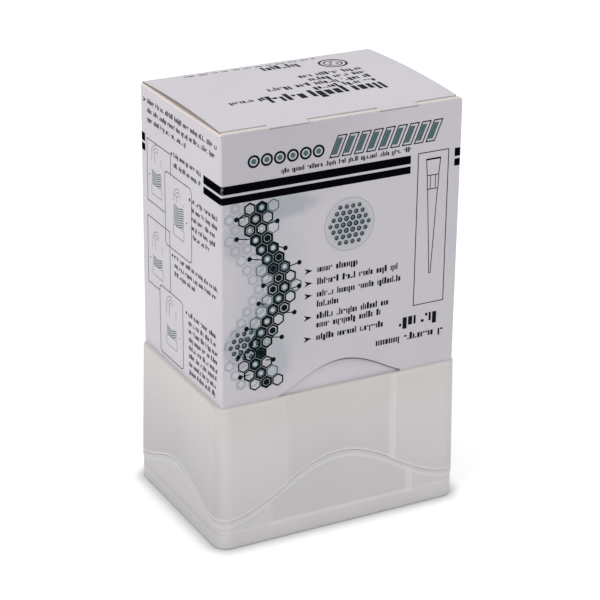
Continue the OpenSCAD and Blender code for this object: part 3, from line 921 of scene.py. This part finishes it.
# on the left wall: frame boxes as (far, near, low, high), measured back from the front edge. The first
# and the third are partly behind the next one, so their outline ends at it: where it starts up its near
# side, and how far its lower side comes. Then the drawing's place, its shares and its arrow's place
pictures = dict(line=0.4, curve=2.2, frames=((77.4, 51.7, 145, 174.8), (57.9, 29.9, 130, 165.4),
                                             (78, 53.2, 104, 137.2), (65.3, 40.2, 73.4, 107.2)),
                hidden=((165.6, -58.1), None, (107.4, -65.5), None), shift=(2.5, -0.5, 1.5, 0),
                shares=((0.8, 0.55, 0.32), (0.72, 0.64, 0.36), (0.68, 0.46, 0.32), (0.78, 0.5, 0.34)),
                arrows=(-8.2, 8.4, -8.2, 8.4), arrowSize=0.35, base=(5.6, 5, 0.8), thin=0.22,
                arcs=(2.2, 3.8, 5.4), sides=(-5.4, -2.2, 5), faintLine=0.28, rows=(4.6, 1.1, 0.5))
sideRows = [(31, -76.5, -4, 193.4, 1.7, *plain, 3, 4.35, 0.57),
            (33, -48.5, -18.9, 176.4, 1.6, *plain, 2, 4.8, 0.95),
            (34, -29.5, -4, 160.8, 1.6, *plain, 5, 4.2, 0.7),
            (35, -48.5, -3.8, 127.6, 1.6, *plain, 3, 4.2, 0.5),
            (36, -34, -4, 104.8, 1.75, *plain, 8, 4.1, 0.9)]
sideDots = [(-50.6, 176.2), (-31.8, 160.6), (-50.6, 127.4), (-36.2, 104.6)]


def makeSidePrint(look):
    lines, faint, hatch = [], [], []
    for k, (far, near, low, high) in enumerate(look["frames"]):
        if look["hidden"][k]:
            start, end = look["hidden"][k]
            path = [(-near, start), (-near, high), (-far, high), (-far, low), (end, low)]
            lines.append(stroke(path, look["line"]))
        else:
            lines.append(frameLine(-far, -near, low, high, look["line"], look["curve"]))
        # inside: a hood lifted off a hatched stack over a plain base, further down in each picture
        middle = -(far + near) / 2 - look["shift"][k]
        hood, stack, foot = (low + share * (high - low) for share in look["shares"][k])
        half, deep, corner = look["base"]
        lines.append(frameLine(middle - half, middle + half, foot - deep, foot, look["thin"], corner))
        for r in look["arcs"]:
            arc = circle(middle, hood, r, np.radians(np.linspace(15 + 12 * r, 175, 16)))
            faint.append(stroke(arc, look["faintLine"]))
        faint += [stroke([(middle + x, hood), (middle + x, (hood + stack) / 2)], look["faintLine"])
                  for x in look["sides"]]
        half, pitch, line = look["rows"]
        for z in foot + 1 + pitch * np.arange(int((stack - foot) / pitch)):
            hatch.append(stroke([(middle - half, z), (middle, z - 0.9), (middle + half, z + 0.5)], line))
        lines += [stroke([(middle + x, foot + 0.6), (middle + x, stack)], look["thin"]) for x in (-5, 5)]
        lines += arrowHead(middle + look["arrows"][k], (foot + stack) / 2, look["arrowSize"])
    inkPiece("pictureHoods", faint, edgeShade)
    inkPiece("pictureStacks", hatch, tealInk)
    inkPiece("sidePictures", lines)
    dots = [ring(x, z - 0.65, 0.75, sides=12) for x, z in sideDots]
    inkPiece("sideCopy", copyTable(sideRows) + arrowHead(-79.6, 192.5, 0.8) + dots)


topRows = [(40, 38, 97, 33.0, 6.2, (2.6, 3.6), 0.3), (47, 20.1, 41, 34.4, 2.6, (3, 5)),
           (41, 64, 97, 38.6, 3.2, (2, 4), 0.6), (42, 44, 97, 44.6, 3.2, (2, 4), 0.6),
           (43, 68, 98, 50.6, 3.2, (2, 4), 0.6), (44, 66, 98, 56.6, 3.2, (2, 4), 0.6),
           (48, 57, 76, 76.0, 4.2, (4, 5), 0.5), (46, 20, 88, 80.6, 1.1, (2, 5), 1.7)]
backRows = [(51, 14, 96, 187, 4.2, (2, 4)), (52, 14, 76, 160, 1.8, *plain, 9, 6.2, 0.6)]
rightRows = [(53, 8, 76, 192.5, 1.6, *plain, 3, 4.35, 0.6),
             (54, 8, 70, 158, 1.6, *plain, 14, 4.3, 0.5)]


def makeTopPrint(rows, x=91, y=68.5):
    # copy on the lid panel, and a round mark of two rings and three dots
    mark = [ring(x, y, 7, 1.1, sides=48), ring(x, y, 4.6, 0.7, sides=40)]
    mark += [ring(x + a, y + b, 0.9, sides=16) for a, b in ((-1.8, -1), (1.8, -1), (0, 2.1))]
    inkPiece("topCopy", copyTable(rows) + mark, place=onTop, body="lid_panel")


def makePlainPrint(name, place, end, rows):
    # a wall that only has the bands and copy
    inkPiece(name + "Bands", [bar(sleeve["fold"], end, *z) for z in bands["heights"]], blackInk, place)
    inkPiece(name + "Copy", copyTable(rows), place=place)


makeFrontPrint(heading, copyBlock, tipDrawing)
makeArtwork(artwork)
makeSidePrint(pictures)
makeTopPrint(topRows)
makeArchShadow(sleeve)
makePlainPrint("back", onBack, sleeve["width"] - sleeve["fold"], backRows)
makePlainPrint("right", onRight, sleeve["depth"] - sleeve["fold"], rightRows)
print("print done")


# studio

studio = dict(floorWide=12, floorGlow=0.3, seam=(6.4, 19), seamIn=8, seamDark=0.42, sky=0.5,
              glowFar=(0.3, 1.6, 0.8), aim=(0, 0, 0.1),
              lamps=dict(key=((-1.5, -0.55, 1.1), 0.9, 11.3), fill=((0.75, -1.7, 0.75), 1.2, 4.35),
                         overhead=((0.25, 0.35, 1.9), 1.4, 10)))    # place and size in metres, watts


def areaLamp(name, place, size, watts, aim):
    # a square soft light that faces its aim
    data = bpy.data.lights.new(name, "AREA")
    data.energy, data.size = watts, size
    back = unit(np.subtract(place, aim))
    side = unit(np.cross([0, 0, 1], back))
    placeTurned(name, data, [side, np.cross(back, side), back], place)


def directRay(at):
    # 1 for rays that should see plain white: from the camera, a mirror or through glass
    seen = [at.node("LightPath", out="Is %s Ray" % kind) for kind in ("Camera", "Glossy", "Transmission")]
    return (seen[0] + seen[1] + seen[2]).clamped()


def makeStudio(setup):
    half = setup["floorWide"] / 2
    mesh = bpy.data.meshes.new("floor")
    corners = [(-half, -half, 0), (half, -half, 0), (half, half, 0), (-half, half, 0)]
    mesh.from_pydata(corners, [], [(0, 1, 2, 3)])
    floor = bpy.data.objects.new("floor", mesh)
    bpy.context.collection.objects.link(floor)
    material, at = newMaterial("whiteFloor")
    # painted contact shadow: darker in a narrow seam round the foot of the box, by the distance from a
    # rectangle inside it
    x, y = ((abs(part) - (rackBox[size] / 2 - setup["seamIn"]) * mm).maths("MAXIMUM", 0.0)
            for part, size in zip(at.parts(), ("width", "depth")))
    clear = ((x ** 2.0 + y ** 2.0) ** 0.5).fade(*(reach * mm for reach in setup["seam"]))
    lit = 1 - (1 - clear) * (1 - clear) * setup["seamDark"]
    matt = at.node("BsdfDiffuse", {"Color": lit.mixed((0, 0, 0, 1), (0.97, 0.97, 0.97, 1))})
    # the glow makes up for the lamps' falloff further out
    near, far, more = setup["glowFar"]
    rise = at.node("VectorMath", {0: at}, "Value", operation="LENGTH").fade(near, far)
    strength = directRay(at) * lit * (setup["floorGlow"] + rise * more)
    glow = at.node("Emission", {"Color": (1, 1, 1, 1), "Strength": strength})
    at.node("OutputMaterial", {"Surface": at.node("AddShader", {0: matt, 1: glow})})
    mesh.materials.append(material)

    world = bpy.data.worlds.new("studioSky")
    world.use_nodes = True
    world.node_tree.nodes.clear()
    at = Wire(world.node_tree)
    white = directRay(at)
    bright = white + (1 - white) * setup["sky"]
    sky = at.node("Background", {"Color": (1, 1, 1, 1), "Strength": bright})
    at.node("OutputWorld", {"Surface": sky})
    bpy.context.scene.world = world
    for name, lamp in setup["lamps"].items():
        areaLamp(name + "Light", *lamp, setup["aim"])
    bpy.context.scene.view_settings.view_transform = "Standard"


makeStudio(studio)
print("studio done")
